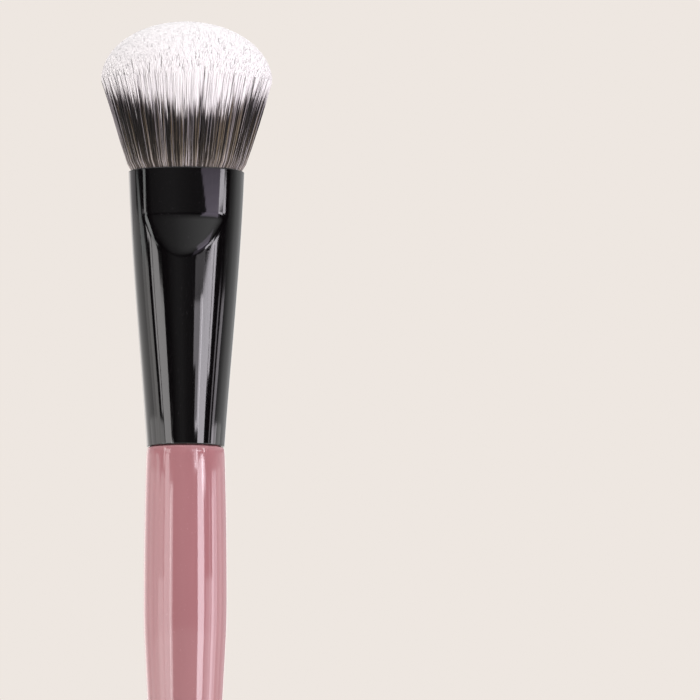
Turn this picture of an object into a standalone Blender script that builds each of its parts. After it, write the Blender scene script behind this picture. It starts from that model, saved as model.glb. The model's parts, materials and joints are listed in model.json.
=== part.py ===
# Blush brush: a lacquered wooden handle is glued into a crimped metal ferrule, which holds a domed tuft.
# It stands head up along +Z, with the centre of its butt end at the origin.
# The pressed flats of the ferrule face the front (-Y) and the back (+Y), and X is its wide way.

import math
import random

import bmesh
import bpy
from mathutils import Vector

MM = 0.001

# Handle, from its butt end at z = 0 up to the shoulder under the ferrule
HANDLE_LENGTH = 95.0 * MM
NECK_PROUD = 0.02 * MM
BELLY_SWELL = 0.36 * MM
BELLY_BELOW_JOINT = 27.0 * MM
TAPER_BELOW_JOINT = 30.5 * MM
TAPER_ROUNDING = 0.2 * MM
BUTT_RADIUS = 3.8 * MM
BUTT_CAP_HEIGHT = 4.2 * MM
BUTT_FLAT_RADIUS = 1.5 * MM
SHOULDER_HEIGHT = 1.5 * MM
SHOULDER_DROP = 0.25 * MM
TENON_LENGTH = 19.0 * MM
TENON_CHAMFER = 0.6 * MM

# Ferrule: a round tube at the handle, flared to an oval at the mouth
FERRULE_LENGTH = 48.6 * MM
FERRULE_BASE_RADIUS = 6.83 * MM
FERRULE_WALL = 0.4 * MM
FERRULE_SWELL = 0.26 * MM
MOUTH_HALF_WIDTH = 10.2 * MM
MOUTH_HALF_DEPTH = 7.35 * MM
JOINT_GAP = 0.2 * MM

# Crimp: the band pressed under the mouth, whose face bows back a little towards its sides, and the sloping
# gusset that leads from it down to the flare
CRIMP_BAND = 8.5 * MM
CRIMP_PRESS = 1.25 * MM
CRIMP_BOW = 1.8 * MM
CRIMP_ROUNDING = 0.5 * MM
GUSSET_HEIGHT = 6.6 * MM

# Adhesive round the tenon, and the resin that the fibre roots are cast in
FIT_GAP = 0.15 * MM
GLUE_THICKNESS = 0.37 * MM
GLUE_ABOVE_FERRULE_BASE = 0.6 * MM
GLUE_BELOW_TENON_TOP = 4.2 * MM
PLUG_ABOVE_TENON = 0.3 * MM
ROOT_DEPTH = 8.6 * MM
SLICE_HEIGHT = 1.6 * MM
SLICE_GAP = 0.3 * MM

# Binding thread, wound as a band round the resin
TIE_THICKNESS = 0.6 * MM
TIE_HEIGHT = 2.0 * MM
TIE_PLACE_SHARE = 0.6

# Tuft: strands that flare out of the mouth to a domed head
HEAD_HALF_WIDTH = 15.0 * MM
HEAD_HALF_DEPTH = 9.4 * MM
HEAD_WIDEST_ABOVE_MOUTH = 15.9 * MM
DOME_HEIGHT = 10.4 * MM
MOUTH_CLEARANCE = 0.2 * MM
LAYER_GAP = 0.2 * MM
STRAND_GAP = 0.24 * MM
STRAND_POINT = 2.6 * MM
STRAND_UNEVENNESS = 0.35 * MM
STRAND_COLUMN_COUNT = 19
FRONT_ROW_COUNT = 5
CORE_ROW_COUNT = 6
BACK_ROW_COUNT = 5
TUFT_SEED = 7

# Mesh fineness
TURNED_SIDES = 40
RING_STEPS = 4
RINGS_APART = 1.5 * MM
BELLY_STEPS = 6
TAPER_STEPS = 4
ARC_STEPS = 4
DOME_HALVINGS = 30
MERGE_DISTANCE = 0.005 * MM
SMOOTH_BELOW_DEGREES = 35
HALF_SIDE_ANGLE = math.pi / TURNED_SIDES

# Radii that follow from the ferrule's
NECK_RADIUS = FERRULE_BASE_RADIUS + NECK_PROUD
BELLY_RADIUS = NECK_RADIUS + BELLY_SWELL
BORE_INSET = FERRULE_WALL + FIT_GAP
TUFT_INSET = FERRULE_WALL + MOUTH_CLEARANCE
GLUE_BORE_RADIUS = FERRULE_BASE_RADIUS - BORE_INSET - GLUE_THICKNESS
TENON_RADIUS = GLUE_BORE_RADIUS - FIT_GAP
CRIMP_HALF_DEPTH = MOUTH_HALF_DEPTH - CRIMP_PRESS

# Levels along the brush
JOINT_Z = HANDLE_LENGTH
FERRULE_BASE_Z = JOINT_Z + JOINT_GAP
MOUTH_Z = FERRULE_BASE_Z + FERRULE_LENGTH
CREASE_Z = MOUTH_Z - CRIMP_BAND
GUSSET_Z = CREASE_Z - GUSSET_HEIGHT
TENON_TOP_Z = JOINT_Z + TENON_LENGTH
SLICE_TOP_Z = MOUTH_Z - ROOT_DEPTH
SLICE_BASE_Z = SLICE_TOP_Z - SLICE_HEIGHT
PLUG_BASE_Z = TENON_TOP_Z + PLUG_ABOVE_TENON
PLUG_TOP_Z = SLICE_BASE_Z - SLICE_GAP
TIE_Z = PLUG_BASE_Z + (PLUG_TOP_Z - PLUG_BASE_Z) * TIE_PLACE_SHARE
WIDEST_Z = MOUTH_Z + HEAD_WIDEST_ABOVE_MOUTH


def mixed(low, high, share):
    return low + (high - low) * share


def rounded_minimum(first, second, rounding):
    # The lesser of two lengths, with the corner between them rounded off
    overlap = max(rounding - abs(first - second), 0) / rounding
    return min(first, second) - overlap * overlap * rounding / 4


def clear_scene():
    for old in list(bpy.data.objects):
        bpy.data.objects.remove(old, do_unlink=True)


def finish(name, colour, roughness, metallic=0.0):
    made = bpy.data.materials.new(name)
    made.use_nodes = True
    shader = made.node_tree.nodes["Principled BSDF"]
    shader.inputs["Base Color"].default_value = (*colour, 1)
    shader.inputs["Roughness"].default_value = roughness
    shader.inputs["Metallic"].default_value = metallic
    return made


def add_part(name, bm, material, collection, axis):
    mesh = bpy.data.meshes.new(name)
    bm.to_mesh(mesh)
    bm.free()
    mesh.materials.append(material)
    mesh.shade_smooth()
    mesh.set_sharp_from_angle(angle=math.radians(SMOOTH_BELOW_DEGREES))
    part = bpy.data.objects.new(name, mesh)
    collection.objects.link(part)
    part.parent = axis
    return part


# Sections of the ferrule and of what fills it

def ferrule_share(z):
    return (z - FERRULE_BASE_Z) / FERRULE_LENGTH


def half_width(z):
    # Almost a straight taper, which swells a little two thirds of the way up, where the curve's peak is 1
    share = ferrule_share(z)
    swell = FERRULE_SWELL * share * share * (1 - share) * 27 / 4
    return mixed(FERRULE_BASE_RADIUS, MOUTH_HALF_WIDTH, share) + swell


def half_depth(z):
    return mixed(FERRULE_BASE_RADIUS, MOUTH_HALF_DEPTH, ferrule_share(z))


def pressed_half_depth(z):
    # Half the depth at the middle of the pressed face, which is upright above the crease and leans outwards
    # below it, down to the flare
    press = half_depth(GUSSET_Z) - CRIMP_HALF_DEPTH
    return CRIMP_HALF_DEPTH + press * max(CREASE_Z - z, 0) / GUSSET_HEIGHT


def oval(z, flat, inset):
    # The outline at this level, as a function of the angle: drawn in by inset, and pressed to the flat, which
    # bows back towards the sides
    def point(angle):
        x = (half_width(z) - inset) * math.cos(angle)
        y = (half_depth(z) - inset) * math.sin(angle)
        face = flat - inset - CRIMP_BOW * math.cos(angle) ** 2
        pressed = rounded_minimum(abs(y), face, CRIMP_ROUNDING)
        return Vector((x, math.copysign(pressed, y), z))
    return point


def ferrule_section(z, inset=0.0):
    return oval(z, pressed_half_depth(z), inset)


def round_section(z, radius):
    return lambda angle: Vector((radius * math.cos(angle), radius * math.sin(angle), z))


def levels(base, top):
    # Even levels from base to top, and the crimp's own edges where they lie between
    edges = (GUSSET_Z, CREASE_Z - CRIMP_ROUNDING, CREASE_Z + CRIMP_ROUNDING)
    own = [z for z in edges if base + RINGS_APART < z < top]
    even = [mixed(base, top, step / RING_STEPS) for step in range(RING_STEPS + 1)]
    apart = [z for z in even if all(abs(z - edge) > RINGS_APART for edge in own)]
    return sorted({base, top, *own, *apart})


def loft(bm, sections):
    # Joins a ring at each section, in turn, with the middle of a side to the front. Returns the first ring
    # and the last one
    bmesh.ops.create_circle(bm, segments=TURNED_SIDES, radius=1)
    rings = [bm.edges[:]]
    for _ in sections[1:]:
        made = bmesh.ops.extrude_edge_only(bm, edges=rings[-1])["geom"]
        rings.append([edge for edge in made if isinstance(edge, bmesh.types.BMEdge)])
    for ring, section in zip(rings, sections):
        for vert in {vert for edge in ring for vert in edge.verts}:
            vert.co = section(math.atan2(vert.co.y, vert.co.x) + HALF_SIDE_ANGLE)
    return rings[0], rings[-1]


def ferrule(material, collection, axis):
    bm = bmesh.new()
    loft(bm, [ferrule_section(z) for z in levels(FERRULE_BASE_Z, MOUTH_Z)])
    bmesh.ops.recalc_face_normals(bm, faces=bm.faces)
    part = add_part("ferrule", bm, material, collection, axis)
    wall = part.modifiers.new("wall", "SOLIDIFY")
    wall.thickness = FERRULE_WALL
    wall.offset = -1
    wall.use_even_offset = True


def handle_glue(material, collection, axis):
    # A thin sleeve of set adhesive between the tenon and the ferrule
    base = FERRULE_BASE_Z + GLUE_ABOVE_FERRULE_BASE
    top = TENON_TOP_Z - GLUE_BELOW_TENON_TOP
    outside = [ferrule_section(z, BORE_INSET) for z in levels(base, top)]
    inside = [round_section(z, GLUE_BORE_RADIUS) for z in (top, base)]
    bm = bmesh.new()
    first, last = loft(bm, outside + inside)
    bmesh.ops.bridge_loops(bm, edges=first + last)
    bmesh.ops.recalc_face_normals(bm, faces=bm.faces)
    add_part("handle_glue", bm, material, collection, axis)


def root_plug(material, collection, axis):
    # The cast resin above the tenon, with a groove round it for the binding thread
    groove_base = TIE_Z - TIE_HEIGHT / 2 - FIT_GAP
    groove_top = TIE_Z + TIE_HEIGHT / 2 + FIT_GAP
    groove_inset = BORE_INSET + TIE_THICKNESS + FIT_GAP
    below = [ferrule_section(z, BORE_INSET) for z in levels(PLUG_BASE_Z, groove_base)]
    groove = [ferrule_section(z, groove_inset) for z in (groove_base, groove_top)]
    above = [ferrule_section(z, BORE_INSET) for z in levels(groove_top, PLUG_TOP_Z)]
    bm = bmesh.new()
    loft(bm, below + groove + above)
    bmesh.ops.holes_fill(bm, edges=bm.edges)
    bmesh.ops.recalc_face_normals(bm, faces=bm.faces)
    add_part("root_plug", bm, material, collection, axis)


def root_tie(material, collection, axis):
    base, top = TIE_Z - TIE_HEIGHT / 2, TIE_Z + TIE_HEIGHT / 2
    outer, inner = BORE_INSET, BORE_INSET + TIE_THICKNESS
    bm = bmesh.new()
    sections = [(base, outer), (top, outer), (top, inner), (base, inner)]
    first, last = loft(bm, [ferrule_section(z, inset) for z, inset in sections])
    bmesh.ops.bridge_loops(bm, edges=first + last)
    bmesh.ops.recalc_face_normals(bm, faces=bm.faces)
    add_part("root_tie", bm, material, collection, axis)


# The handle

def handle_radius(z):
    # Swells in a slow curve to the belly, then tapers straight to the butt
    below = JOINT_Z - z
    rise = max(BELLY_BELOW_JOINT - below, 0) / BELLY_BELOW_JOINT
    upper = mixed(BELLY_RADIUS, NECK_RADIUS, rise * rise)
    fall = (below - TAPER_BELOW_JOINT) / (HANDLE_LENGTH - TAPER_BELOW_JOINT)
    return rounded_minimum(upper, mixed(BELLY_RADIUS, BUTT_RADIUS, fall), TAPER_ROUNDING)


def handle_outline():
    # From the top of the tenon, down the outside, to the middle of the butt end
    points = [
        (0, TENON_TOP_Z),
        (TENON_RADIUS - TENON_CHAMFER, TENON_TOP_Z),
        (TENON_RADIUS, TENON_TOP_Z - TENON_CHAMFER),
        (TENON_RADIUS, JOINT_Z),
    ]
    quarter_turns = [math.pi / 2 * step / ARC_STEPS for step in range(ARC_STEPS + 1)]
    shoulder_z = JOINT_Z - SHOULDER_HEIGHT
    for turn in quarter_turns:
        z = shoulder_z + SHOULDER_HEIGHT * math.cos(turn)
        points.append((handle_radius(z) - SHOULDER_DROP * (1 - math.sin(turn)), z))
    taper_z = JOINT_Z - TAPER_BELOW_JOINT - TAPER_ROUNDING
    for step in range(1, BELLY_STEPS + 1):
        z = mixed(shoulder_z, taper_z, step / BELLY_STEPS)
        points.append((handle_radius(z), z))
    for step in range(1, TAPER_STEPS + 1):
        z = mixed(taper_z, BUTT_CAP_HEIGHT, step / TAPER_STEPS)
        points.append((handle_radius(z), z))
    cap_radius = handle_radius(BUTT_CAP_HEIGHT)
    for turn in quarter_turns[1:]:
        radius = mixed(BUTT_FLAT_RADIUS, cap_radius, math.cos(turn))
        points.append((radius, BUTT_CAP_HEIGHT * (1 - math.sin(turn))))
    points.append((0, 0))
    return points


def handle(material, collection, axis):
    bm = bmesh.new()
    corners = [bm.verts.new((radius, 0, z)) for radius, z in handle_outline()]
    for upper, lower in zip(corners, corners[1:]):
        bm.edges.new((upper, lower))
    part = add_part("handle", bm, material, collection, axis)
    turning = part.modifiers.new("turning", "SCREW")
    turning.axis = "Z"
    turning.angle = 2 * math.pi
    turning.steps = TURNED_SIDES
    turning.render_steps = TURNED_SIDES
    turning.use_merge_vertices = True
    turning.merge_threshold = MERGE_DISTANCE


# The tuft

ALL_ROW_COUNT = FRONT_ROW_COUNT + CORE_ROW_COUNT + BACK_ROW_COUNT
PLAN_HALF_WIDTH = half_width(SLICE_TOP_Z) - TUFT_INSET
PLAN_HALF_DEPTH = CRIMP_HALF_DEPTH - TUFT_INSET


def tuft_place(spot, z):
    # Where the strand at this spot of the unit disc passes the level z: it fills the mouth, then flares
    reach, angle = math.hypot(*spot), math.atan2(spot[1], spot[0])
    inside = oval(min(z, MOUTH_Z), CRIMP_HALF_DEPTH, TUFT_INSET)(angle)
    head = Vector((HEAD_HALF_WIDTH * math.cos(angle), HEAD_HALF_DEPTH * math.sin(angle), 0))
    flare = max(z - MOUTH_Z, 0) / HEAD_WIDEST_ABOVE_MOUTH
    across = inside.lerp(head, flare) if flare <= 1 else head + (head - inside) * (flare - 1)
    return Vector((across.x * reach, across.y * reach, z))


def plan_spot(place):
    # Where a place of the oblong plan goes on the unit disc, with areas kept alike
    across, along = place.x / PLAN_HALF_WIDTH, place.y / PLAN_HALF_DEPTH
    if across == 0 and along == 0:
        return 0, 0
    if abs(across) >= abs(along):
        turn = math.pi / 4 * along / across
        return across * math.cos(turn), across * math.sin(turn)
    turn = math.pi / 4 * across / along
    return along * math.sin(turn), along * math.cos(turn)


def tip_level(spot):
    # The level at which the strand at this spot meets the dome
    low, high = WIDEST_Z, WIDEST_Z + DOME_HEIGHT
    for _ in range(DOME_HALVINGS):
        z = (low + high) / 2
        place = tuft_place(spot, z)
        out = math.hypot(place.x / HEAD_HALF_WIDTH, place.y / HEAD_HALF_DEPTH)
        if math.hypot(out, (z - WIDEST_Z) / DOME_HEIGHT) > 1:
            high = z
        else:
            low = z
    return low


def grow_strand(bm, face, chance):
    # Draws one strand straight up from its face: to the mouth, to its shoulder, and to its point
    middle = face.calc_center_median()
    tip_z = tip_level(plan_spot(middle)) - STRAND_UNEVENNESS * chance.random()
    for z in (MOUTH_Z, tip_z - STRAND_POINT):
        face = bmesh.ops.extrude_discrete_faces(bm, faces=[face])["faces"][0]
        for vert in face.verts:
            vert.co.z = z
    point = bmesh.ops.poke(bm, faces=[face])["verts"][0]
    point.co.z = tip_z


def tuft_layer(name, first_row, rows, material, collection, axis):
    # A band of strands across the tuft, fused to their slice of the resin. They are drawn upright on an
    # oblong plan, and the whole layer is then bent to the mouth and the head
    low = mixed(-PLAN_HALF_DEPTH, PLAN_HALF_DEPTH, first_row / ALL_ROW_COUNT) + LAYER_GAP / 2
    high = mixed(-PLAN_HALF_DEPTH, PLAN_HALF_DEPTH, (first_row + rows) / ALL_ROW_COUNT) - LAYER_GAP / 2
    bm = bmesh.new()
    bmesh.ops.create_grid(bm, x_segments=STRAND_COLUMN_COUNT, y_segments=rows, size=1)
    for vert in bm.verts:
        along = mixed(low, high, (vert.co.y + 1) / 2)
        vert.co = Vector((vert.co.x * PLAN_HALF_WIDTH, along, SLICE_TOP_Z))
    tops = bm.faces[:]
    lowered = bmesh.ops.extrude_face_region(bm, geom=tops, use_keep_orig=True)["geom"]
    for vert in lowered:
        if isinstance(vert, bmesh.types.BMVert):
            vert.co.z = SLICE_BASE_Z
    bmesh.ops.dissolve_faces(bm, faces=[face for face in lowered if isinstance(face, bmesh.types.BMFace)])
    bmesh.ops.recalc_face_normals(bm, faces=bm.faces)
    bmesh.ops.inset_individual(bm, faces=tops, thickness=STRAND_GAP / 2, use_even_offset=True)
    chance = random.Random(TUFT_SEED + first_row)
    for face in tops:
        grow_strand(bm, face, chance)
    for vert in bm.verts:
        vert.co = tuft_place(plan_spot(vert.co), vert.co.z)
    add_part(name, bm, material, collection, axis)


def tuft(material, collection, axis):
    tuft_layer("bristles_front", 0, FRONT_ROW_COUNT, material, collection, axis)
    tuft_layer("bristles_core", FRONT_ROW_COUNT, CORE_ROW_COUNT, material, collection, axis)
    tuft_layer("bristles_back", FRONT_ROW_COUNT + CORE_ROW_COUNT, BACK_ROW_COUNT, material, collection, axis)
    print("tuft:", ALL_ROW_COUNT * STRAND_COLUMN_COUNT, "strands")


def build():
    clear_scene()
    collection = bpy.data.collections.new("blush_brush")
    bpy.context.scene.collection.children.link(collection)
    axis = bpy.data.objects.new("brush_axis", None)
    collection.objects.link(axis)
    handle(finish("pink_lacquer", (0.46, 0.20, 0.22), 0.14), collection, axis)
    handle_glue(finish("amber_glue", (0.55, 0.40, 0.20), 0.45), collection, axis)
    ferrule(finish("black_gloss", (0.012, 0.010, 0.013), 0.10, 0.6), collection, axis)
    root_plug(finish("clear_resin", (0.62, 0.50, 0.34), 0.30), collection, axis)
    root_tie(finish("binding_thread", (0.75, 0.72, 0.66), 0.80), collection, axis)
    tuft(finish("soft_fibre", (0.62, 0.57, 0.57), 0.60), collection, axis)


build()
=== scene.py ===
import json
import math

import bmesh
import bpy
import numpy as np
from mathutils import Matrix, Quaternion, Vector, noise

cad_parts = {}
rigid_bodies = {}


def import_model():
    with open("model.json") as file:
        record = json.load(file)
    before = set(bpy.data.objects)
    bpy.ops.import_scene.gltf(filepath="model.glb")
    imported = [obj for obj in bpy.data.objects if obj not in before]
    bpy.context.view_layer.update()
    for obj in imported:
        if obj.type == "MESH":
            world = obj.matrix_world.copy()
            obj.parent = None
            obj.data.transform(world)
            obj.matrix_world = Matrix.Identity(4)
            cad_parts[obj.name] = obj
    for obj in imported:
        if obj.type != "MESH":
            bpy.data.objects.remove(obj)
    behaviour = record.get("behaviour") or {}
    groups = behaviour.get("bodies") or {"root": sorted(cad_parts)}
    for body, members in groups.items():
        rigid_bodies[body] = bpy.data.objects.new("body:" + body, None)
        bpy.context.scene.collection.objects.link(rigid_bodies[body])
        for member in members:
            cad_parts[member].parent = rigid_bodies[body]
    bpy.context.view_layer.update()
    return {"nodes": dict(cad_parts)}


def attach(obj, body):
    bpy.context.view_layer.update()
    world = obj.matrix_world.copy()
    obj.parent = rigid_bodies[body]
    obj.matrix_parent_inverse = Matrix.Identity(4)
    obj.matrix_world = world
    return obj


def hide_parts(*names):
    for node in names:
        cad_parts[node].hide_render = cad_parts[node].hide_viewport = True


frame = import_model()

mm = 0.001
scene = bpy.context.scene
scene.view_settings.view_transform = "Standard"
scene.cycles.max_bounces = 24            # light passes between many white fibres
scene.cycles.diffuse_bounces = 24
print("frame:", sorted(frame["nodes"]))


def mixed(low, high, share):
    return low + (high - low) * share


def roundedMin(first, second, rounding):
    # lesser of two lengths, with the corner between them rounded off
    overlap = np.maximum(rounding - np.abs(first - second), 0) / rounding
    return np.minimum(first, second) - overlap * overlap * rounding / 4


def addNode(tree, kind, links=None, **settings):
    # one node, with its own settings, and its sockets set to a value or fed by another socket
    node = tree.nodes.new(kind)
    for name, value in settings.items():
        setattr(node, name, value)
    for socket, value in (links or {}).items():
        if isinstance(value, bpy.types.NodeSocket):
            tree.links.new(value, node.inputs[socket])
        else:
            node.inputs[socket].default_value = value
    return node


def addMath(tree, operation, first, second, clamp=False):
    return addNode(tree, "ShaderNodeMath", {0: first, 1: second},
                   operation=operation, use_clamp=clamp).outputs[0]


def addRange(tree, value, fromMin=0.0, fromMax=1.0, toMin=0.0, toMax=1.0):
    return addNode(tree, "ShaderNodeMapRange", {"Value": value, "From Min": fromMin, "From Max": fromMax,
                                                "To Min": toMin, "To Max": toMax}).outputs[0]


def addNoise(tree, place, scale, detail, roughness=0.5):
    return addNode(tree, "ShaderNodeTexNoise", {"Vector": place, "Scale": scale, "Detail": detail,
                                                "Roughness": roughness}).outputs["Fac"]


def addStretch(tree, place, scale):
    return addNode(tree, "ShaderNodeMapping", {"Vector": place, "Scale": scale}).outputs[0]


def addBump(tree, height, strength, distance, under=None):
    links = {"Height": height, "Strength": strength, "Distance": distance}
    if under is not None:
        links["Normal"] = under
    return addNode(tree, "ShaderNodeBump", links).outputs[0]


def addRamp(tree, factor, stops):
    node = addNode(tree, "ShaderNodeValToRGB", {"Fac": factor})
    ramp = node.color_ramp
    while len(ramp.elements) < len(stops):
        ramp.elements.new(1.0)
    for element, (place, colour) in zip(ramp.elements, stops):
        element.position = place
        element.color = (*colour, 1) if isinstance(colour, tuple) else (colour, colour, colour, 1)
    return node.outputs["Color"]


def mixColour(tree, factor, first, second, blend="MIX"):
    node = addNode(tree, "ShaderNodeMix", data_type="RGBA", blend_type=blend, clamp_factor=True)
    for socket, value in ((node.inputs[0], factor), (node.inputs[6], first), (node.inputs[7], second)):
        if isinstance(value, bpy.types.NodeSocket):
            tree.links.new(value, socket)
        elif isinstance(value, tuple):
            socket.default_value = (*value, 1)
        else:
            socket.default_value = value
    return node.outputs[2]


def newMaterial(name):
    made = bpy.data.materials.new(name)
    made.use_nodes = True
    return made, made.node_tree, made.node_tree.nodes["Principled BSDF"]


def addPlace(tree):
    # the piece's own coordinates, in metres
    return addNode(tree, "ShaderNodeTexCoord").outputs["Object"]


def newGroup(name, inputs, outputs):
    tree = bpy.data.node_groups.new(name, "ShaderNodeTree")
    for socket, kind in inputs.items():
        tree.interface.new_socket(socket, in_out="INPUT", socket_type="NodeSocket" + kind)
    for socket in outputs:
        tree.interface.new_socket(socket, in_out="OUTPUT", socket_type="NodeSocketFloat")
    return tree, addNode(tree, "NodeGroupInput").outputs


def useGroup(tree, group, links):
    return addNode(tree, "ShaderNodeGroup", links, node_tree=group).outputs


def meshOf(name, bm, material):
    mesh = bpy.data.meshes.new(name)
    bm.to_mesh(mesh)
    bm.free()
    mesh.materials.append(material)
    mesh.shade_smooth()
    return mesh


def addPiece(name, bm, material, replaced):
    piece = bpy.data.objects.new(name, meshOf(name, bm, material))
    scene.collection.objects.link(piece)
    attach(piece, "root")
    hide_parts(replaced)


def spunOutline(points, sides, closed):
    # the outline, as (radius, level) points, spun round the brush's axis
    bm = bmesh.new()
    corners = [bm.verts.new((radius, 0, z)) for radius, z in points]
    following = corners[1:] + corners[:1] if closed else corners[1:]
    outline = [bm.edges.new(pair) for pair in zip(corners, following)]
    bmesh.ops.spin(bm, geom=corners + outline, cent=(0, 0, 0), axis=(0, 0, 1), angle=math.tau,
                   steps=sides, use_merge=True)
    bmesh.ops.remove_doubles(bm, verts=bm.verts, dist=0.001 * mm)
    bmesh.ops.recalc_face_normals(bm, faces=bm.faces)
    return bm


# Camera, at the photograph's angle

cameraPlace = {
    "distance": 1.0,
    "azimuth": math.radians(-4.5),       # round the brush, from its front
    "elevation": math.radians(-5.5),
    "aimHeight": 112.27 * mm,
    "aimAside": 28.7 * mm,               # brush stands left of the middle
    "sensorWidth": 36.0,
    "lens": 293.9,
    "clipStart": 10.0 * mm,
}


def sideways(angle):
    # level direction at this angle to the right of the front, seen from above
    return Vector((math.sin(angle), -math.cos(angle), 0))


def makeCamera(p):
    data = bpy.data.cameras.new("camera")
    data.sensor_width = p["sensorWidth"]
    data.lens = p["lens"]
    data.clip_start = p["clipStart"]
    camera = bpy.data.objects.new("camera", data)
    scene.collection.objects.link(camera)
    centre = Vector((0, 0, p["aimHeight"]))
    back = sideways(p["azimuth"]) * math.cos(p["elevation"]) + Vector((0, 0, math.sin(p["elevation"])))
    camera.location = centre + back * p["distance"]
    aim = centre + Vector((math.cos(p["azimuth"]), math.sin(p["azimuth"]), 0)) * p["aimAside"]
    camera.rotation_euler = (aim - camera.location).to_track_quat("-Z", "Y").to_euler()
    scene.camera = camera


makeCamera(cameraPlace)
print("camera: set")


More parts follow.
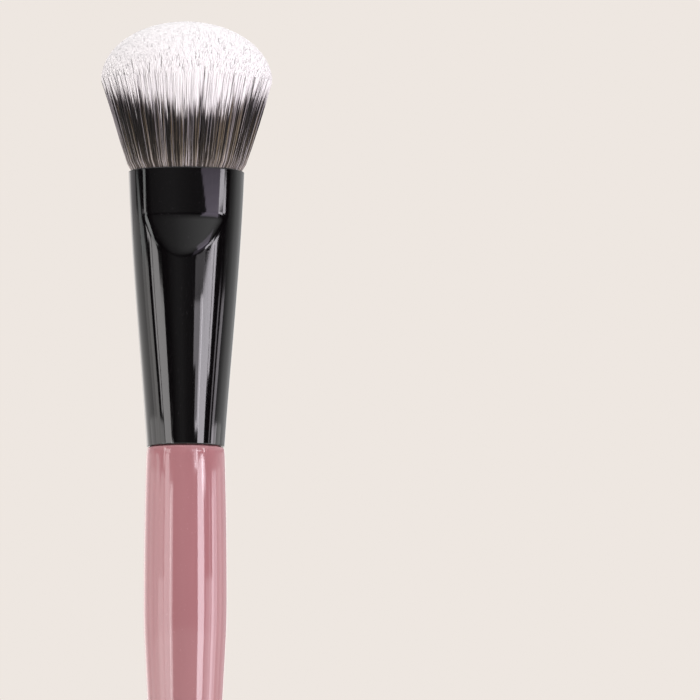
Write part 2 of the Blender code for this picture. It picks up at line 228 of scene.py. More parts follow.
# Room: strip softboxes, a top softbox, the pale surroundings and the floor. Degrees are round the brush
# from the camera's side, roll turns a strip in its own plane, bottoms and tops are heights over the floor,
# and radiance is in plain scene units. The near strips stand so close that only the ferrule or only the
# handle mirrors them. A strip with slats leans: its left, right and radiance are each given at the bottom
# and at the top
tints = {
    "rose": (1.0, 0.95, 1.02),
    "pink": (1.0, 0.95, 1.0),
    "violet": (1.0, 0.87, 1.1),
    "blush": (1.0, 0.93, 1.0),
    "pearl": (1.0, 0.97, 0.97),
    "cream": (1.0, 0.97, 0.96),
    "sand": (1.0, 0.97, 0.95),
    "shell": (1.0, 0.95, 0.97),
    "cool": (0.98, 1.0, 0.99),
    "mint": (0.97, 1.0, 0.99),
    "plain": (1.0, 0.98, 0.99),
}
stripLights = {
    "right_strip": {"angle": 43.8, "spread": 18.6, "distance": 0.6, "bottom": 0.004, "top": 0.1765,
                    "roll": 4.5, "radiance": 9.0, "tint": "rose"},
    "right_strip_inner": {"angle": 31.8, "spread": 4.6, "distance": 0.1, "bottom": 0.103, "top": 0.1285,
                          "radiance": 9.0, "tint": "rose"},
    "right_strip_outer": {"angle": 54.7, "spread": 4.3, "distance": 0.1, "bottom": 0.112, "top": 0.1385,
                          "radiance": 9.0, "tint": "rose"},
    "right_strip_foot": {"angle": 27.5, "spread": 4.0, "distance": 0.1, "bottom": 0.103, "top": 0.1045,
                         "radiance": 9.0, "tint": "rose"},
    "right_strip_high": {"angle": 39.5, "spread": 15.0, "distance": 0.3, "bottom": 0.1655, "top": 0.178,
                         "radiance": 9.2, "tint": "rose"},
    "right_strip_rise": {"slats": 4, "distance": 1.5, "bottom": 0.256, "top": 0.293, "left": (47.0, 47.0),
                         "right": (61.0, 55.0), "radiance": (9.2, 9.2), "tint": "rose"},
    "right_wing_low": {"slats": 2, "distance": 0.1, "bottom": 0.1035, "top": 0.1275, "left": (25.5, 15.5),
                       "right": (29.5, 29.5), "radiance": (3.1, 3.1), "tint": "rose"},
    "right_wing_mid": {"angle": 27.5, "spread": 16.0, "distance": 0.6, "bottom": 0.168, "top": 0.198,
                       "radiance": 1.2, "tint": "pink"},
    "right_wing_high": {"slats": 5, "distance": 0.06, "bottom": 0.141, "top": 0.1512, "left": (18.6, 12.4),
                        "right": (33.5, 33.5), "radiance": (2.2, 1.15), "tint": "violet"},
    "right_wing_top": {"angle": 25.0, "spread": 24.0, "distance": 1.5, "bottom": 0.36, "top": 0.52,
                       "radiance": 0.6, "tint": "violet"},
    "right_line_near": {"angle": 71.3, "spread": 3.4, "distance": 0.6, "bottom": 0.004, "top": 0.155,
                        "radiance": 2.4, "tint": "blush"},
    "right_line_far": {"angle": 82.5, "spread": 8.0, "distance": 0.6, "bottom": 0.004, "top": 0.150,
                       "radiance": 3.0, "tint": "blush"},
    "right_line_handle": {"angle": 86.0, "spread": 17.0, "distance": 0.1, "bottom": 0.044, "top": 0.1015,
                          "radiance": 3.4, "tint": "blush"},
    "right_line_low": {"angle": 76.0, "spread": 4.0, "distance": 0.1, "bottom": 0.044, "top": 0.078,
                       "radiance": 4.6, "tint": "blush"},
    "right_wall_low": {"angle": 64.7, "spread": 18.6, "distance": 0.1, "bottom": 0.044, "top": 0.078,
                       "radiance": 2.3, "tint": "blush"},
    "right_wall_handle": {"angle": 104.0, "spread": 24.0, "distance": 0.1, "bottom": 0.044, "top": 0.1015,
                          "radiance": 1.0, "tint": "cream"},
    "left_strip": {"angle": -51.0, "spread": 20.0, "distance": 0.6, "bottom": 0.004, "top": 0.158,
                   "radiance": 4.9, "tint": "pearl"},
    "left_strip_mid": {"slats": 4, "distance": 0.6, "bottom": 0.158, "top": 0.187, "left": (-61.0, -60.0),
                       "right": (-46.5, -50.5), "radiance": (4.9, 4.4), "tint": "pearl"},
    "left_strip_high": {"slats": 3, "distance": 0.6, "bottom": 0.187, "top": 0.206, "left": (-58.0, -55.0),
                        "right": (-48.0, -41.0), "radiance": (3.2, 3.2), "tint": "cool"},
    "left_strip_top": {"slats": 4, "distance": 0.6, "bottom": 0.206, "top": 0.320, "left": (-58.0, -70.0),
                       "right": (-48.5, -43.0), "radiance": (3.9, 3.9), "tint": "cool"},
    "left_strip_side": {"angle": -67.5, "spread": 5.0, "distance": 0.1, "bottom": 0.1365, "top": 0.1425,
                        "radiance": 4.9, "tint": "pearl"},
    "left_strip_low": {"angle": -68.0, "spread": 20.0, "distance": 0.1, "bottom": 0.044, "top": 0.078,
                       "radiance": 1.5, "tint": "pearl"},
    "left_strip_handle": {"angle": -38.3, "spread": 7.6, "distance": 0.1, "bottom": 0.044, "top": 0.0995,
                          "radiance": 4.9, "tint": "pearl"},
    "left_strip_ferrule": {"angle": -63.0, "spread": 4.0, "distance": 0.1, "bottom": 0.103, "top": 0.141,
                           "radiance": 4.9, "tint": "pearl"},
    "left_wall_handle": {"angle": -66.8, "spread": 11.8, "distance": 0.1, "bottom": 0.044, "top": 0.1015,
                         "radiance": 2.9, "tint": "cream"},
    "left_wall_low": {"angle": -98.0, "spread": 34.0, "distance": 0.1, "bottom": 0.044, "top": 0.1015,
                      "radiance": 0.8, "tint": "cream"},
    "left_wall_near": {"angle": -79.2, "spread": 9.4, "distance": 0.6, "bottom": 0.004, "top": 0.156,
                       "radiance": 2.6, "tint": "sand"},
    "left_wall_mid": {"angle": -89.4, "spread": 11.0, "distance": 0.6, "bottom": 0.004, "top": 0.156,
                      "radiance": 1.7, "tint": "sand"},
    "left_wall": {"angle": -117.0, "spread": 44.0, "distance": 0.6, "bottom": 0.004, "top": 0.177,
                  "radiance": 1.0, "tint": "sand"},
    "left_wall_line": {"slats": 6, "distance": 0.6, "bottom": 0.156, "top": 0.197, "left": (-92.0, -102.0),
                       "right": (-77.0, -95.0), "radiance": (2.6, 0.9), "tint": "mint"},
    "left_wall_high": {"angle": -123.8, "spread": 36.4, "distance": 0.6, "bottom": 0.177, "top": 0.25,
                       "radiance": 0.74, "tint": "shell"},
    "back_left_panel": {"angle": -152, "spread": 26, "distance": 0.6, "bottom": 0.004, "top": 0.25,
                        "radiance": 1.1, "tint": "cream"},
    "back_right_panel": {"angle": 165, "spread": 12, "distance": 0.6, "bottom": 0.004, "top": 0.25,
                         "radiance": 0.9, "tint": "cream"},
}
background = (0.855, 0.798, 0.752)
room = {
    "topHeight": 0.9,
    "topSize": 0.9,
    "topRadiance": 0.9,
    # radiance round the brush by degrees: dark near the camera and at its sides, pale behind the brush
    "levelGlow": [(-180, background), (-155, background), (-130, 0.3), (-100, 0.12), (-70, 0.03),
                  (-42, 0.02), (-30, 0.05), (-22, 0.14), (-14, 0.21), (-7, 0.22), (0, 0.16), (6, 0.12),
                  (14, 0.1), (40, 0.03), (75, 0.03), (90, 0.35), (108, 1.0), (140, 1.15), (155, 0.75),
                  (180, background)],
    "aboveGlow": [(-180, 0.9), (-90, 0.9), (-50, 0.08), (-30, 0.05), (-8, 0.4), (6, 0.8), (16, 1.1),
                  (32, 1.45), (60, 1.3), (100, 1.0), (180, 0.9)],
    "overheadGlow": [(-180, 0.6), (-110, 0.8), (-60, 1.72), (60, 1.72), (110, 0.8), (180, 0.6)],
    "aboveRise": (12, 24),               # degrees of elevation between which each takes over
    "overheadRise": (30, 42),
    "darkBand": [(0.13, 1.0), (0.16, 0.45), (0.20, 0.45), (0.25, 1.0)],    # by the sine of the elevation
    "floorColour": (0.74, 0.71, 0.68),
    "floorUneven": 0.015,
    "floorGrain": 30.0,
    "floorRoughness": 0.9,
    "floorSpecular": 0.15,
    "floorRadius": 2.4,
    "floorSides": 64,
}


def addAreaLight(name, width, height, radiance, tint, place, facing, roll=0):
    data = bpy.data.lights.new(name, "AREA")
    data.shape = "RECTANGLE"
    data.size = width
    data.size_y = height
    data.energy = radiance * math.pi * width * height
    data.color = tints[tint]
    light = bpy.data.objects.new(name, data)
    light.location = place
    turned = facing.to_track_quat("-Z", "Y") @ Quaternion((0, 0, 1), math.radians(roll))
    light.rotation_euler = turned.to_euler()
    light.visible_camera = False
    scene.collection.objects.link(light)


def addPanel(name, strip, left, right, bottom, top, radiance):
    out = sideways(cameraPlace["azimuth"] + math.radians((left + right) / 2))
    width = 2 * strip["distance"] * math.tan(math.radians((right - left) / 2))
    place = Vector((0, 0, (top + bottom) / 2)) + out * strip["distance"]
    addAreaLight(name, width, top - bottom, radiance, strip["tint"], place, -out, strip.get("roll", 0))


def addLeaningPanel(name, strip):
    # level slats, each between its own two angles
    rise = (strip["top"] - strip["bottom"]) / strip["slats"]
    for row in range(strip["slats"]):
        share = (row + 0.5) / strip["slats"]
        bottom = strip["bottom"] + rise * row
        addPanel(name + "_" + str(row), strip, mixed(*strip["left"], share), mixed(*strip["right"], share),
                 bottom, bottom + rise, mixed(*strip["radiance"], share))


def makeLights(strips, p):
    for name, strip in strips.items():
        if "slats" in strip:
            addLeaningPanel(name, strip)
        else:
            half = strip["spread"] / 2
            addPanel(name, strip, strip["angle"] - half, strip["angle"] + half, strip["bottom"],
                     strip["top"], strip["radiance"])
    addAreaLight("top_softbox", p["topSize"], p["topSize"], p["topRadiance"], "plain",
                 Vector((0, 0, p["topHeight"])), Vector((0, 0, -1)))


def makeWorld(p):
    world = bpy.data.worlds.new("studio")
    scene.world = world
    world.use_nodes = True
    tree = world.node_tree
    tree.nodes.clear()
    direction = addNode(tree, "ShaderNodeTexCoord").outputs["Generated"]
    turned = addNode(tree, "ShaderNodeVectorRotate", {"Vector": direction, "Angle": -cameraPlace["azimuth"]},
                     rotation_type="Z_AXIS").outputs[0]
    parts = addNode(tree, "ShaderNodeSeparateXYZ", {"Vector": turned})
    height = parts.outputs["Z"]
    towards = addMath(tree, "MULTIPLY", parts.outputs["Y"], -1.0)
    angle = addMath(tree, "ARCTAN2", parts.outputs["X"], towards)
    turn = addRange(tree, angle, -math.pi, math.pi)

    def around(stops):
        return addRamp(tree, turn, [((degrees + 180) / 360, value) for degrees, value in stops])

    def between(rise):
        # goes from 0 to 1 between these elevations
        return addRange(tree, height, math.sin(math.radians(rise[0])), math.sin(math.radians(rise[1])))

    side = mixColour(tree, between(p["aboveRise"]), around(p["levelGlow"]), around(p["aboveGlow"]))
    side = mixColour(tree, 1.0, side, addRamp(tree, height, p["darkBand"]), "MULTIPLY")
    glow = mixColour(tree, between(p["overheadRise"]), side, around(p["overheadGlow"]))
    shown = addNode(tree, "ShaderNodeBackground", {"Color": (*background, 1), "Strength": 1.0})
    lit = addNode(tree, "ShaderNodeBackground", {"Color": glow, "Strength": 1.0})
    ray = addNode(tree, "ShaderNodeLightPath")
    chosen = addNode(tree, "ShaderNodeMixShader",
                     {0: ray.outputs["Is Camera Ray"], 1: lit.outputs[0], 2: shown.outputs[0]})
    addNode(tree, "ShaderNodeOutputWorld", {"Surface": chosen.outputs[0]})


def makeFloor(p):
    made, tree, shader = newMaterial("pale_floor")
    grain = addNoise(tree, addPlace(tree), p["floorGrain"], 6.0)
    darker = tuple(c * (1 - p["floorUneven"]) for c in p["floorColour"])
    lighter = tuple(c * (1 + p["floorUneven"]) for c in p["floorColour"])
    tree.links.new(mixColour(tree, grain, darker, lighter), shader.inputs["Base Color"])
    shader.inputs["Roughness"].default_value = p["floorRoughness"]
    shader.inputs["Specular IOR Level"].default_value = p["floorSpecular"]
    bm = bmesh.new()
    bmesh.ops.create_circle(bm, cap_ends=True, segments=p["floorSides"], radius=p["floorRadius"])
    floor = bpy.data.objects.new("floor", meshOf("floor", bm, made))
    scene.collection.objects.link(floor)
    # the strips light the brush alone, so that the floor stays evenly pale
    unlit = bpy.data.collections.new("unlit_by_strips")
    unlit.objects.link(floor)
    unlit.collection_objects[0].light_linking.link_state = "EXCLUDE"
    for thing in scene.objects:
        if thing.type == "LIGHT" and thing.name != "top_softbox":
            thing.light_linking.receiver_collection = unlit


makeLights(stripLights, room)
makeWorld(room)
makeFloor(room)
print("room:", len(stripLights) + 1, "softboxes, walls and floor")


# Shared finishes

sharedFinishes = {
    "drawnLength": 0.04,                 # polishing lines run along the brush
    "lineLimits": (0.56, 0.8),
    "speckLimits": (0.68, 0.76),
}


def makeFineMarks(p):
    # long polishing lines and a few tiny specks, as masks and a height, in the piece's own metres
    tree, given = newGroup("fine_marks", {"Vector": "Vector", "Line Scale": "Float", "Speck Scale": "Float"},
                           ("Lines", "Specks", "Height"))
    drawn = addStretch(tree, given["Vector"], (1, 1, p["drawnLength"]))
    lines = addRange(tree, addNoise(tree, drawn, given["Line Scale"], 3.0, 0.6), *p["lineLimits"])
    specks = addRange(tree, addNoise(tree, given["Vector"], given["Speck Scale"], 2.0), *p["speckLimits"])
    height = addMath(tree, "ADD", lines, specks)
    addNode(tree, "NodeGroupOutput", {"Lines": lines, "Specks": specks, "Height": height})
    return tree


def makeSoftUnevenness():
    # the slow unevenness of a sprayed or dipped coat
    tree, given = newGroup("soft_unevenness", {"Vector": "Vector", "Across Scale": "Float",
                                               "Stretch": "Vector"}, ("Height",))
    placed = addNode(tree, "ShaderNodeVectorMath", {0: given["Vector"], 1: given["Stretch"]},
                     operation="MULTIPLY").outputs[0]
    addNode(tree, "NodeGroupOutput", {"Height": addNoise(tree, placed, given["Across Scale"], 1.0)})
    return tree


fineMarks = makeFineMarks(sharedFinishes)
softUnevenness = makeSoftUnevenness()


def addGlossBumps(tree, shader, place, marks, p):
    # slow waves of the coat, with the fine marks over them
    waves = useGroup(tree, softUnevenness, {"Vector": place, "Across Scale": p["waveScale"],
                                            "Stretch": (1, 1, p["waveStretch"])})
    slow = addBump(tree, waves["Height"], p["waveStrength"], p["waveHeight"])
    fine = addBump(tree, marks["Height"], p["markStrength"], p["markHeight"], slow)
    tree.links.new(fine, shader.inputs["Normal"])


# Handle

handle = {
    "length": 95.0 * mm,
    "neckRadius": 6.85 * mm,
    "bellyRadius": 7.29 * mm,
    "bellyBelowJoint": 27.0 * mm,
    "taperBelowJoint": 30.5 * mm,
    "taperRounding": 0.2 * mm,
    "buttRadius": 3.8 * mm,
    "buttCapHeight": 4.2 * mm,
    "buttFlatRadius": 1.5 * mm,
    "shoulderHeight": 1.5 * mm,
    "shoulderDrop": 0.25 * mm,
    "tenonRadius": 5.76 * mm,
    "tenonLength": 19.0 * mm,
    "tenonChamfer": 0.6 * mm,
    "tenonFootHeight": 0.3 * mm,
    "tenonFootSpread": 0.15 * mm,
    "sides": 160,
    "shoulderSteps": 12,
    "bodySteps": 80,
    "buttSteps": 16,
    "colour": (0.303, 0.134, 0.145),
    "deepColour": (0.276, 0.118, 0.129),
    "dustColour": (0.55, 0.34, 0.35),
    "dustShare": 0.18,
    "cloudScale": 160.0,
    "cloudStretch": 0.12,
    "lineScale": 1700.0,
    "speckScale": 2600.0,
    "roughness": 0.05,
    "roughnessSpread": 0.03,
    "waveScale": 260.0,
    "waveStretch": 0.16,
    "waveStrength": 0.06,
    "waveHeight": 0.25 * mm,
    "markStrength": 0.03,
    "markHeight": 0.02 * mm,
}


def handleRadius(p, z):
    below = p["length"] - z
    rise = max(p["bellyBelowJoint"] - below, 0) / p["bellyBelowJoint"]
    upper = mixed(p["bellyRadius"], p["neckRadius"], rise * rise)
    fall = (below - p["taperBelowJoint"]) / (p["length"] - p["taperBelowJoint"])
    lower = mixed(p["bellyRadius"], p["buttRadius"], fall)
    return float(roundedMin(upper, lower, p["taperRounding"]))


def handleOutline(p):
    # from the top of the tenon, down the outside, to the middle of the butt end
    joint, top = p["length"], p["length"] + p["tenonLength"]
    points = [(0, top), (p["tenonRadius"] - p["tenonChamfer"], top),
              (p["tenonRadius"], top - p["tenonChamfer"]), (p["tenonRadius"], joint + p["tenonFootHeight"]),
              (p["tenonRadius"] + p["tenonFootSpread"], joint)]
    shoulderZ = joint - p["shoulderHeight"]
    for step in range(p["shoulderSteps"] + 1):
        turn = math.pi / 2 * step / p["shoulderSteps"]
        z = shoulderZ + p["shoulderHeight"] * math.cos(turn)
        points.append((handleRadius(p, z) - p["shoulderDrop"] * (1 - math.sin(turn)), z))
    for step in range(1, p["bodySteps"] + 1):
        z = mixed(shoulderZ, p["buttCapHeight"], step / p["bodySteps"])
        points.append((handleRadius(p, z), z))
    for step in range(1, p["buttSteps"] + 1):
        turn = math.pi / 2 * step / p["buttSteps"]
        radius = mixed(p["buttFlatRadius"], handleRadius(p, p["buttCapHeight"]), math.cos(turn))
        points.append((radius, p["buttCapHeight"] * (1 - math.sin(turn))))
    return points + [(0, 0)]


def handleLacquer(p):
    # dusty pink lacquer with a deep gloss, a little cloudy, with a few specks of dust
    made, tree, shader = newMaterial("handle_lacquer")
    place = addPlace(tree)
    cloud = addNoise(tree, addStretch(tree, place, (1, 1, p["cloudStretch"])), p["cloudScale"], 4.0)
    patches = addRamp(tree, cloud, [(0.3, 0.0), (0.7, 1.0)])
    colour = mixColour(tree, patches, p["deepColour"], p["colour"])
    marks = useGroup(tree, fineMarks, {"Vector": place, "Line Scale": p["lineScale"],
                                       "Speck Scale": p["speckScale"]})
    dust = addMath(tree, "MULTIPLY", marks["Specks"], p["dustShare"])
    tree.links.new(mixColour(tree, dust, colour, p["dustColour"]), shader.inputs["Base Color"])
    rough = addRange(tree, cloud, toMin=p["roughness"], toMax=p["roughness"] + p["roughnessSpread"])
    tree.links.new(rough, shader.inputs["Roughness"])
    addGlossBumps(tree, shader, place, marks, p)
    return made


def makeHandle(p):
    bm = spunOutline(handleOutline(p), p["sides"], False)
    addPiece("handle_turned", bm, handleLacquer(p), "handle")


makeHandle(handle)
print("handle: turned and lacquered")


# Ferrule

ferrule = {
    "base": 95.2 * mm,
    "length": 48.6 * mm,
    "baseRadius": 6.83 * mm,
    "wall": 0.4 * mm,
    "swell": 0.26 * mm,
    "mouthHalfWidth": 10.2 * mm,
    "mouthHalfDepth": 7.35 * mm,
    "crimpBand": 8.7 * mm,
    "crimpPress": 1.25 * mm,
    "crimpBow": 1.8 * mm,            # how far the pressed face rounds back at its sides
    "crimpTurnShare": 0.05,          # the jaws pressed it a few degrees out of square
    "crimpRounding": 0.5 * mm,
    "gussetRoundingShare": 0.15,     # the gusset's edges get sharper towards its foot
    "creaseRounding": 0.14 * mm,
    "gussetHeight": 6.6 * mm,
    "rimDip": 0.28 * mm,             # the mouth is a little lower at its sides
    "edgeRoundingHigh": 0.2 * mm,
    "edgeRoundingDeep": 0.16 * mm,
    "edgeSteps": 6,
    "edgeMargin": 0.05 * mm,
    "outsideRows": 60,
    "creaseRows": 21,                # closer rows, from this far below the crease to this far above it
    "creaseRowsBelow": 1.6 * mm,
    "creaseRowsAbove": 1.0 * mm,
    "insideRows": 40,
    "insideMargin": 0.1 * mm,
    "sides": 256,
    "spinRadius": 10.0 * mm,
    "colour": (0.0012, 0.0008, 0.0011),
    "scuffColour": (0.05, 0.045, 0.05),
    "dustShare": 0.25,
    "wornLips": [(0.0, 1.0), (0.006, 0.0), (0.994, 0.0), (1.0, 1.0)],
    "lineScale": 2400.0,
    "speckScale": 3200.0,
    "roughness": 0.06,
    "roughnessSpread": 0.1,
    "waveScale": 240.0,
    "waveStretch": 0.2,
    "waveStrength": 0.07,
    "waveHeight": 0.25 * mm,
    "markStrength": 0.04,
    "markHeight": 0.01 * mm,
}


def ferruleSection(p, x, y, z, inset):
    # moves points of the round blank at these directions and levels to the pressed oval
    length = np.hypot(x, y)
    across, along = x / length, y / length
    share = (z - p["base"]) / p["length"]
    swell = p["swell"] * share * share * (1 - share) * 27 / 4     # full two thirds of the way up
    halfWidth = mixed(p["baseRadius"], p["mouthHalfWidth"], share) + swell - inset
    halfDepth = mixed(p["baseRadius"], p["mouthHalfDepth"], share) - inset
    crease = p["base"] + p["length"] - p["crimpBand"]
    gusset = crease - p["gussetHeight"]
    gussetDepth = mixed(p["baseRadius"], p["mouthHalfDepth"], (gusset - p["base"]) / p["length"])
    upright = p["mouthHalfDepth"] - p["crimpPress"]
    lean = -roundedMin((z - crease) / p["gussetHeight"] * p["crimpPress"], 0 * z, p["creaseRounding"])
    flat = upright + lean * (gussetDepth - upright) / p["crimpPress"] - inset
    turned = p["crimpTurnShare"] * halfWidth * across * np.sign(along)
    flat = flat - p["crimpBow"] * across * across - turned
    sharpening = np.clip((z - gusset) / p["gussetHeight"], 0, 1)
    rounding = p["crimpRounding"] * mixed(p["gussetRoundingShare"], 1, sharpening)
    depth = roundedMin(np.abs(halfDepth * along), flat, rounding)
    return halfWidth * across, np.copysign(depth, along)


def ferruleOutline(p):
    # inset and level round the wall's own section: up the outside, over the lip, and down the inside
    base, top = p["base"], p["base"] + p["length"]
    high, deep = p["edgeRoundingHigh"], p["edgeRoundingDeep"]
    crease = top - p["crimpBand"]
    turns = [math.pi / 2 * step / p["edgeSteps"] for step in range(p["edgeSteps"] + 1)]
    levels = set(np.linspace(base + high, top - high, p["outsideRows"]))
    levels |= set(np.linspace(crease - p["creaseRowsBelow"], crease + p["creaseRowsAbove"], p["creaseRows"]))
    levels |= {base + high + p["edgeMargin"], top - high - p["edgeMargin"]}
    outside = [(deep * (1 - math.sin(t)), base + high * (1 - math.cos(t))) for t in turns]
    outside += [(0, z) for z in sorted(levels)[1:-1]]
    outside += [(deep * (1 - math.cos(t)), top - high * (1 - math.sin(t))) for t in turns]
    inside = np.linspace(top - p["insideMargin"], base + p["insideMargin"], p["insideRows"])
    return outside + [(p["wall"], z) for z in inside]


def ferruleEnamel(p):
    # glossy black enamel with a plum cast, faint polishing lines and a little wear at the lips
    made, tree, shader = newMaterial("ferrule_enamel")
    place = addPlace(tree)
    marks = useGroup(tree, fineMarks, {"Vector": place, "Line Scale": p["lineScale"],
                                       "Speck Scale": p["speckScale"]})
    level = addNode(tree, "ShaderNodeSeparateXYZ", {"Vector": place}).outputs["Z"]
    lips = addRamp(tree, addRange(tree, level, p["base"], p["base"] + p["length"]), p["wornLips"])
    rubbed = addMath(tree, "MULTIPLY", lips, marks["Lines"])
    dusted = addMath(tree, "MULTIPLY", marks["Specks"], p["dustShare"])
    worn = addMath(tree, "ADD", rubbed, dusted, clamp=True)
    tree.links.new(mixColour(tree, worn, p["colour"], p["scuffColour"]), shader.inputs["Base Color"])
    rough = addRange(tree, marks["Lines"], toMin=p["roughness"], toMax=p["roughness"] + p["roughnessSpread"])
    tree.links.new(rough, shader.inputs["Roughness"])
    addGlossBumps(tree, shader, place, marks, p)
    return made


def makeFerrule(p):
    # a round shell is spun first, and then pressed
    outline = [(p["spinRadius"] - inset, z) for inset, z in ferruleOutline(p)]
    bm = spunOutline(outline, p["sides"], True)
    blank = np.array([vert.co for vert in bm.verts])
    inset = p["spinRadius"] - np.hypot(blank[:, 0], blank[:, 1])
    x, y = ferruleSection(p, blank[:, 0], blank[:, 1], blank[:, 2], inset)
    above = np.clip((blank[:, 2] - p["base"] - p["length"] + p["crimpBand"]) / p["crimpBand"], 0, 1)
    z = blank[:, 2] - p["rimDip"] * (x / p["mouthHalfWidth"]) ** 2 * above
    for vert, place in zip(bm.verts, zip(x, y, z)):
        vert.co = place
    addPiece("ferrule_shell", bm, ferruleEnamel(p), "ferrule")


makeFerrule(ferrule)
print("ferrule: spun, flared and pressed")


# Adhesive, resin and binding thread, inside the ferrule

innerFinishes = {
    "handle_glue": {"colour": (0.62, 0.52, 0.33), "dark": (0.45, 0.36, 0.2), "scale": 700.0,
                    "roughness": 0.35},
    "root_plug": {"colour": (0.50, 0.36, 0.16), "dark": (0.33, 0.22, 0.09), "scale": 420.0,
                  "roughness": 0.3},
    "root_tie": {"colour": (0.70, 0.66, 0.58), "dark": (0.42, 0.38, 0.32), "scale": 2600.0,
                 "roughness": 0.85, "distortion": 0.4},
}
innerBump = {"strength": 0.4, "height": 0.1 * mm}


def innerFinish(name, p):
    made, tree, shader = newMaterial(name + "_finish")
    place = addPlace(tree)
    if name == "root_tie":
        # the turns of the thread lie level, one above the other
        turns = addNode(tree, "ShaderNodeTexWave", {"Vector": place, "Scale": p["scale"],
                                                    "Distortion": p["distortion"]},
                        wave_type="BANDS", bands_direction="Z").outputs["Fac"]
    else:
        turns = addNoise(tree, place, p["scale"], 3.0)
    tree.links.new(mixColour(tree, turns, p["dark"], p["colour"]), shader.inputs["Base Color"])
    tree.links.new(addBump(tree, turns, innerBump["strength"], innerBump["height"]), shader.inputs["Normal"])
    shader.inputs["Roughness"].default_value = p["roughness"]
    node = frame["nodes"][name]
    node.data.materials.clear()
    node.data.materials.append(made)


for nodeName, finish in innerFinishes.items():
    innerFinish(nodeName, finish)
print("inside: adhesive, resin and thread finished")


# Tuft

tuft = {
    "rootZ": 138.8 * mm,
    "mouthZ": 143.8 * mm,
    "mouthInset": 0.46 * mm,
    "mouthBelow": 0.01 * mm,
    "headHalfWidth": 15.0 * mm,
    "headHalfDepth": 9.4 * mm,
    "widestZ": 159.7 * mm,
    "domeHeight": 10.45 * mm,
    "layers": {"front": (-1.01, -0.28), "core": (-0.28, 0.28), "back": (0.28, 1.01)},
    "hairsPerPiece": 5000,
    "locksPerPiece": 1700,
    "hairSides": 3,
    "ringShares": (0.0, 0.16, 0.22, 0.38, 0.6, 0.82, 1.0),
    "mouthShare": 0.16,              # the part of a hair that stands inside the ferrule
    "hairRadius": 0.036 * mm,
    "whiteRadius": 0.08 * mm,        # the white part is thicker
    "whiteFrom": (0.38, 0.6),        # the shares of a hair between which it thickens
    "rimShare": 0.5,                 # share of the hairs that crowd towards the outside
    "tipUnevenness": 0.06 * mm,
    "bow": 0.3 * mm,
    "splay": 0.2 * mm,               # how far a hair's tip strays by itself, and with its lock
    "lockSplay": 0.3 * mm,
    "lockPull": 0.15,
    "lipBulge": 0.35 * mm,           # how far the outer hairs swell over the ferrule's lip
    "lipBulgeRise": 0.7 * mm,
    "lipBulgeEnd": 10.0 * mm,
    "boundaryMiddle": 9.2 * mm,      # dark height above the mouth, in the middle and at the sides
    "boundarySide": 13.0 * mm,
    "boundaryWave": 0.36 * mm,       # how far it wanders round the tuft, by lock and by hair
    "boundaryRagged": 0.72 * mm,
    "boundaryLoose": 0.7 * mm,
    "boundaryLeast": 1.0 * mm,
    "boundaryWaveScale": 9,
    "boundaryWaveSeed": 5.9,
    "whiteReach": 32.0 * mm,         # length of hair that the upper half of the colour coordinate spans
    "toneSpread": 0.26,
    "sideTone": 0.25,                # the outermost hairs are paler
    "sideToneFrom": 0.8,
    "toneLimits": (0.02, 0.98),
    "bakeHalfWidth": 0.008,          # half the size of a hair on the baked map
    "bakeHalfHeight": 0.0005,
    "roundShadingRoot": 0.35,        # how far hairs shade as one round tuft, at the mouth and in the white
    "roundShadingTip": 0.95,
    "roughness": 0.5,
    "specular": 0.25,
    "seed": 11,
}
hairColours = {
    # at the mouth each ramp starts paler: partly the hair's own taupe, and partly painted light that lifts
    # the shade falling at the ferrule's lip
    "dark": [(0.0, (0.052, 0.040, 0.034)), (0.12, (0.013, 0.010, 0.008)), (0.30, (0.0045, 0.003, 0.003)),
             (0.46, (0.004, 0.003, 0.0035)), (0.505, (0.10, 0.085, 0.09)), (0.53, (0.52, 0.485, 0.495)),
             (0.57, (0.83, 0.795, 0.81))],
    "light": [(0.0, (0.50, 0.425, 0.36)), (0.14, (0.30, 0.24, 0.17)), (0.32, (0.175, 0.13, 0.082)),
              (0.45, (0.14, 0.107, 0.085)), (0.50, (0.36, 0.32, 0.31)), (0.53, (0.66, 0.625, 0.63)),
              (0.57, (0.83, 0.795, 0.81))],
    "lilac": [(0.0, (0.50, 0.455, 0.46)), (0.16, (0.31, 0.28, 0.29)), (0.38, (0.175, 0.155, 0.168)),
              (0.48, (0.33, 0.30, 0.32)), (0.53, (0.68, 0.645, 0.66)), (0.57, (0.83, 0.795, 0.815))],
    # the white is greyer lower down each hair and palest at the tip: painted shade, for the lower white of
    # the head that gets less light
    "whiteWithPaintedShade": [(0.70, (0.90, 0.865, 0.875)), (0.96, (0.99, 0.955, 0.962))],    # alike on every hair
    "lightTones": [(0.0, 0.0), (0.5, 0.03), (0.68, 0.35), (0.84, 1.0)],
    "lilacTones": [(0.82, 0.0), (0.88, 1.0)],
}


def fibreMaterial(p, colours):
    # each hair runs from taupe at its root through near-black brown to white at its tip. The root is partly
    # painted light, paler against the shade at the ferrule's lip, and the white is painted shade, greyer
    # lower down
    made, tree, shader = newMaterial("bristle_fibre")
    spot = addNode(tree, "ShaderNodeUVMap", uv_map="OFBake").outputs["UV"]
    parts = addNode(tree, "ShaderNodeSeparateXYZ", {"Vector": spot})
    tone, along = parts.outputs["X"], parts.outputs["Y"]
    dark = addRamp(tree, along, colours["dark"] + colours["whiteWithPaintedShade"])
    light = addRamp(tree, along, colours["light"] + colours["whiteWithPaintedShade"])
    lilac = addRamp(tree, along, colours["lilac"] + colours["whiteWithPaintedShade"])
    brown = mixColour(tree, addRamp(tree, tone, colours["lightTones"]), dark, light)
    colour = mixColour(tree, addRamp(tree, tone, colours["lilacTones"]), brown, lilac)
    tree.links.new(colour, shader.inputs["Base Color"])
    shader.inputs["Roughness"].default_value = p["roughness"]
    shader.inputs["Specular IOR Level"].default_value = p["specular"]
    return made


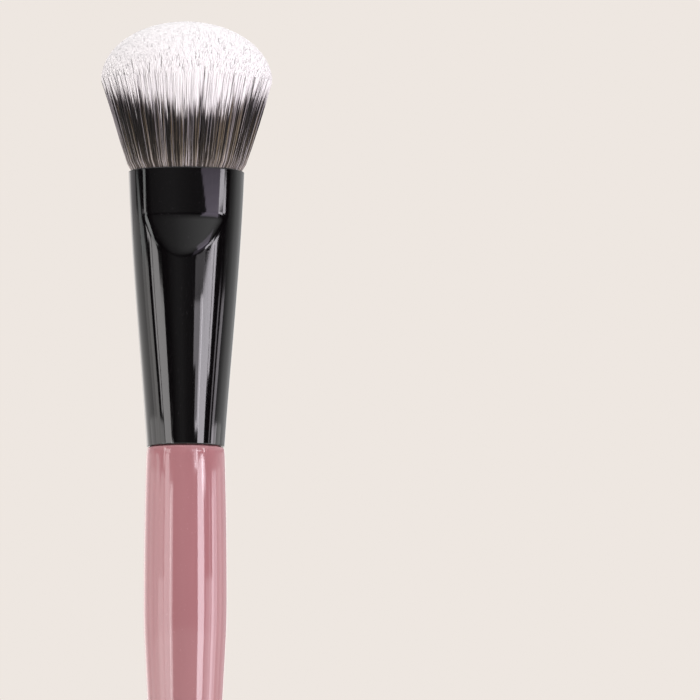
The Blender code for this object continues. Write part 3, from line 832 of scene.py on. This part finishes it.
def repeatedHair(p, count):
    # an upright strand one unit long, cut into rings, and the same beside itself, count times, as one mesh
    bm = bmesh.new()
    bmesh.ops.create_cone(bm, cap_ends=True, segments=p["hairSides"], radius1=0.5, radius2=0.5, depth=1,
                          matrix=Matrix.Translation((0, 0, 0.5)))
    upright = [edge for edge in bm.edges if abs(edge.verts[0].co.z - edge.verts[1].co.z) > 0.5]
    bmesh.ops.subdivide_edges(bm, edges=upright, cuts=len(p["ringShares"]) - 2)
    mesh = bpy.data.meshes.new("strand")
    bm.to_mesh(mesh)
    bm.free()
    strand = bpy.data.objects.new("strand", mesh)
    scene.collection.objects.link(strand)
    row = strand.modifiers.new("row", "ARRAY")
    row.count = count
    row.use_relative_offset = False
    row.use_constant_offset = True
    row.constant_offset_displace = (2, 0, 0)
    bpy.context.view_layer.update()
    made = bpy.data.meshes.new_from_object(strand.evaluated_get(bpy.context.evaluated_depsgraph_get()))
    bpy.data.objects.remove(strand)
    return made


def planSpots(p, chance, count, low, high, side):
    # places on the unit disc, evenly over it and more closely towards its rim, on one side of the middle
    spots = []
    while len(spots) < count:
        reach = math.sqrt(chance.random())
        if chance.random() < p["rimShare"]:
            reach = math.sqrt(1 - (1 - reach * reach) * chance.random())
        turn = chance.random() * math.tau
        across, along = reach * math.cos(turn), reach * math.sin(turn)
        if low <= along < high and across * side >= 0:
            spots.append((across, along))
    return np.array(spots)


def lengths(vectors):
    return np.maximum(np.linalg.norm(vectors, axis=-1, keepdims=True), 1e-9)


def mouthPlace(p, spots):
    # where each hair passes the mouth: the spot's share of the pressed oval there
    reach = np.hypot(spots[:, 0], spots[:, 1]) + 1e-9
    level = np.full(len(spots), p["mouthZ"] - p["mouthBelow"])
    x, y = ferruleSection(ferrule, spots[:, 0] / reach, spots[:, 1] / reach, level, p["mouthInset"])
    return np.stack([x * reach, y * reach], axis=1)


def tipPlaces(p, spots, lockSpots, lock, chance):
    # on the dome, each drawn a little towards the middle of its lock and strayed, but not past the rim
    headSize = np.array([p["headHalfWidth"], p["headHalfDepth"]])
    ends = spots * headSize + (lockSpots[lock] - spots) * headSize * p["lockPull"]
    stray = chance.normal(0, 1, (len(spots), 2)) * p["splay"]
    stray += chance.normal(0, 1, (len(lockSpots), 2))[lock] * p["lockSplay"]
    reach = lengths(spots)
    radial = spots / reach
    stray -= radial * (stray * radial).sum(axis=1, keepdims=True) * reach ** 2
    ends += stray
    out = np.clip(np.hypot(ends[:, 0] / headSize[0], ends[:, 1] / headSize[1]), 0, 1)
    level = p["widestZ"] + p["domeHeight"] * np.sqrt(1 - out ** 2)
    return np.column_stack([ends, level - np.abs(chance.normal(0, 1, len(spots))) * p["tipUnevenness"]])


def hairLines(p, spots, tips, chance):
    # the middle line of each hair, ring by ring: straight out of the mouth, then along the flare
    count = len(spots)
    mouth = mouthPlace(p, spots)
    root = np.column_stack([mouth, np.full(count, p["rootZ"])])
    gate = np.column_stack([mouth, np.full(count, p["mouthZ"])])
    bowTurn = chance.random(count) * math.tau
    bow = np.stack([np.cos(bowTurn), np.sin(bowTurn), np.zeros(count)], axis=1)
    bow *= (chance.random(count) * p["bow"])[:, None]
    outward = mouth / lengths(mouth) * lengths(spots) ** 3
    centres = np.empty((count, len(p["ringShares"]), 3))
    for ring, share in enumerate(p["ringShares"]):
        if share <= p["mouthShare"]:
            centres[:, ring] = mixed(root, gate, share / p["mouthShare"])
            continue
        rise = (share - p["mouthShare"]) / (1 - p["mouthShare"])
        centres[:, ring] = mixed(gate, tips, rise) + bow * math.sin(math.pi * rise)
        over = (centres[:, ring, 2] - p["mouthZ"])[:, None]
        fading = np.clip(1 - over / p["lipBulgeEnd"], 0, 1)
        centres[:, ring, :2] += outward * p["lipBulge"] * (1 - np.exp(-over / p["lipBulgeRise"])) * fading
    return centres


def darkHeights(p, spots, lock, chance):
    # how far up each hair is dark, above the mouth
    height = mixed(p["boundaryMiddle"], p["boundarySide"], np.clip(np.abs(spots[:, 0]), 0, 1) ** 2)
    scale, seed = p["boundaryWaveScale"], p["boundaryWaveSeed"]
    wave = np.array([noise.noise(Vector((x * scale, y * scale, seed))) for x, y in spots])
    height = height + wave * 2 * p["boundaryWave"]
    height = height + chance.normal(0, 1, p["locksPerPiece"])[lock] * p["boundaryRagged"]
    return np.maximum(height + chance.normal(0, 1, len(spots)) * p["boundaryLoose"], p["boundaryLeast"])


def paintHairs(p, mesh, spots, lock, centres, ringOf, turnOf, chance):
    # across the baked map lies the tone of each hair, which its lock shares. Up it lies the colour
    # coordinate: 0 at the mouth, one half where the dark part ends, and more than that in the white
    tone = chance.random(p["locksPerPiece"])[lock] + chance.normal(0, p["toneSpread"], len(spots))
    sideShare = np.clip((np.abs(spots[:, 0]) - p["sideToneFrom"]) / (1 - p["sideToneFrom"]), 0, 1)
    tone = np.clip(tone + p["sideTone"] * sideShare, *p["toneLimits"])
    darkHeight = darkHeights(p, spots, lock, chance)[:, None]
    over = centres[:, :, 2] - p["mouthZ"]
    along = np.where(over < darkHeight, np.clip(over / darkHeight, 0, 1) / 2,
                     0.5 + (over - darkHeight) / p["whiteReach"])
    mapU = np.clip(tone[:, None] + np.cos(turnOf)[None, :] * p["bakeHalfWidth"], 0, 1)
    mapV = np.clip(along[:, ringOf] + np.sin(turnOf)[None, :] * p["bakeHalfHeight"], 0, 1)
    corner = np.empty(len(mesh.loops), dtype=np.int32)
    mesh.loops.foreach_get("vertex_index", corner)
    uv = np.stack([mapU.ravel()[corner], mapV.ravel()[corner]], axis=1)
    mesh.uv_layers.new(name="OFBake").data.foreach_set("uv", uv.astype(np.float32).ravel())


def bendShading(p, mesh, placed, own):
    # the hairs shade partly by the round form of the whole tuft, as a dense soft head does
    form = placed / np.array([p["headHalfWidth"] ** 2, p["headHalfDepth"] ** 2, 1.0])
    form[:, :, 2] = np.maximum(placed[:, :, 2] - p["widestZ"], 0) / p["domeHeight"] ** 2
    rise = np.clip((placed[:, :, 2:] - p["mouthZ"]) / (p["widestZ"] - p["mouthZ"]), 0, 1)
    bent = mixed(own / lengths(own), form / lengths(form),
                 mixed(p["roundShadingRoot"], p["roundShadingTip"], rise))
    mesh.normals_split_custom_set_from_vertices((bent / lengths(bent)).reshape(-1, 3).tolist())


def makeTuftPiece(p, name, node, low, high, side, material, chance):
    count = p["hairsPerPiece"]
    spots = planSpots(p, chance, count, low, high, side)
    lockSpots = planSpots(p, chance, p["locksPerPiece"], low, high, side)
    apart = (spots[:, None] - lockSpots[None]) * np.array([p["headHalfWidth"], p["headHalfDepth"]])
    lock = np.argmin((apart ** 2).sum(axis=2), axis=1)
    tips = tipPlaces(p, spots, lockSpots, lock, chance)
    centres = hairLines(p, spots, tips, chance)
    tangents = np.gradient(centres, axis=1)
    tangents /= lengths(tangents)
    first = np.cross(tangents, np.array([0.0, 1.0, 0.0]))
    first /= lengths(first)
    second = np.cross(tangents, first)

    # each vertex keeps its ring and its corner of the strand, and goes to its place on its own hair
    mesh = repeatedHair(p, count)
    mesh.name = name
    flatCo = np.empty(len(mesh.vertices) * 3)
    mesh.vertices.foreach_get("co", flatCo)
    local = flatCo.reshape(count, -1, 3)[0]
    shares = np.array(p["ringShares"])
    ringOf = np.rint(local[:, 2] * (len(shares) - 1)).astype(int)
    turnOf = np.arctan2(local[:, 1], local[:, 0])
    radius = np.interp(shares[ringOf], p["whiteFrom"], (p["hairRadius"], p["whiteRadius"]))[None, :, None]
    spin = (turnOf[None, :] + (chance.random(count) * math.tau)[:, None])[:, :, None]
    own = radius * (np.cos(spin) * first[:, ringOf] + np.sin(spin) * second[:, ringOf])
    placed = centres[:, ringOf] + own
    mesh.vertices.foreach_set("co", placed.astype(np.float32).ravel())
    paintHairs(p, mesh, spots, lock, centres, ringOf, turnOf, chance)
    mesh.materials.clear()
    mesh.materials.append(material)
    mesh.shade_smooth()
    mesh.update()
    bendShading(p, mesh, placed, own)
    piece = bpy.data.objects.new(name, mesh)
    scene.collection.objects.link(piece)
    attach(piece, "root")
    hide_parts(node)
    return len(mesh.polygons)


def makeTuft(p, colours):
    material = fibreMaterial(p, colours)
    chance = np.random.default_rng(p["seed"])
    faces = 0
    for layer, (low, high) in p["layers"].items():
        for sideName, side in (("left", -1), ("right", 1)):
            faces += makeTuftPiece(p, "fibres_" + layer + "_" + sideName, "bristles_" + layer, low, high,
                                   side, material, chance)
    print("tuft:", 2 * len(p["layers"]) * p["hairsPerPiece"], "hairs,", faces, "faces")


makeTuft(tuft, hairColours)
